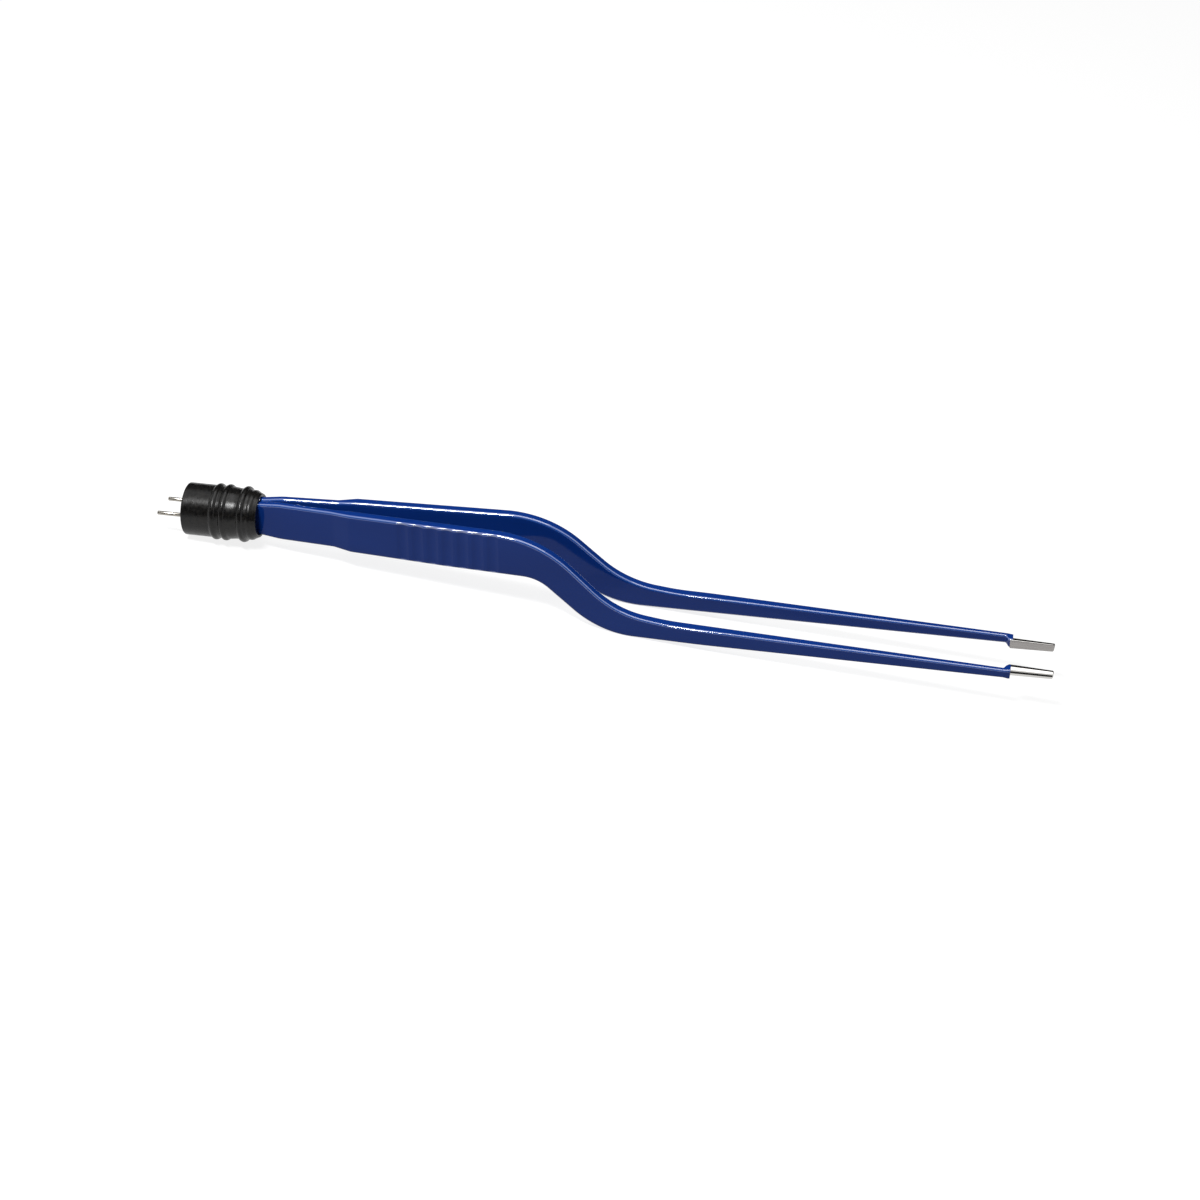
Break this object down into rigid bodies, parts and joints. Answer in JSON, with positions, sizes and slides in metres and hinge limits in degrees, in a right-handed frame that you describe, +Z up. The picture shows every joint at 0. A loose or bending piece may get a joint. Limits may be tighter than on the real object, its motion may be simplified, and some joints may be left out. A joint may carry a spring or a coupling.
{
  "type": "bipolar forceps",
  "caption": "Bayonet bipolar forceps: sprung steel tines in a blue coat with bare tips, joined in a black plug with round contact pins.",
  "frame": {"origin": "centre of the footprint box, on the surface that the forceps rest on", "axes": "+X from the plug to the tips, +Y to the left tine, +Z up"},
  "size_m": [0.222, 0.0172, 0.0203],
  "materials": {
    "steel": "polished and satin stainless steel",
    "blue_coat": "glossy blue nylon coat",
    "black_sleeve": "semi-gloss black sleeve with a fine grain",
    "black_seal": "matt black seal",
    "housing_plastic": "black moulded plastic",
    "pin_steel": "polished pin",
    "ferrule_brass": "crimped brass",
    "copper_lead": "tinned copper wire",
    "solder": "solder",
    "ring_rubber": "black rubber",
    "insulator": "natural nylon"
  },
  "bodies": {
    "plug": {"shrink_sleeve": "black_sleeve", "plug_housing": "housing_plastic", "mouth_seal": "black_seal", "rear_plate": "housing_plastic", "root_spacer": "insulator", "cross_pin": "insulator", "rear_grip_ring": "ring_rubber", "middle_grip_ring": "ring_rubber", "front_grip_ring": "ring_rubber", "left_contact_pin": "pin_steel", "right_contact_pin": "pin_steel", "left_ferrule": "ferrule_brass", "right_ferrule": "ferrule_brass"},
    "left_arm": {"left_tine": "steel", "left_insulation": "blue_coat", "left_lead": "copper_lead", "left_solder_joint": "solder"},
    "right_arm": {"right_tine": "steel", "right_insulation": "blue_coat", "right_lead": "copper_lead", "right_solder_joint": "solder"}
  },
  "joints": [
    {"name": "left_tine_flex", "type": "hinge", "parent": "plug", "child": "left_arm", "pos_m": [-0.08548, 0, 0.00849], "axis": [0.1074, 0, -0.9942], "range_deg": [0, 1.55], "stiffness_Nm_per_rad": 3.5},
    {"name": "right_tine_flex", "type": "hinge", "parent": "plug", "child": "right_arm", "pos_m": [-0.08548, 0, 0.00849], "axis": [-0.1074, 0, 0.9942], "range_deg": [0, 1.55], "stiffness_Nm_per_rad": 3.5}
  ]
}
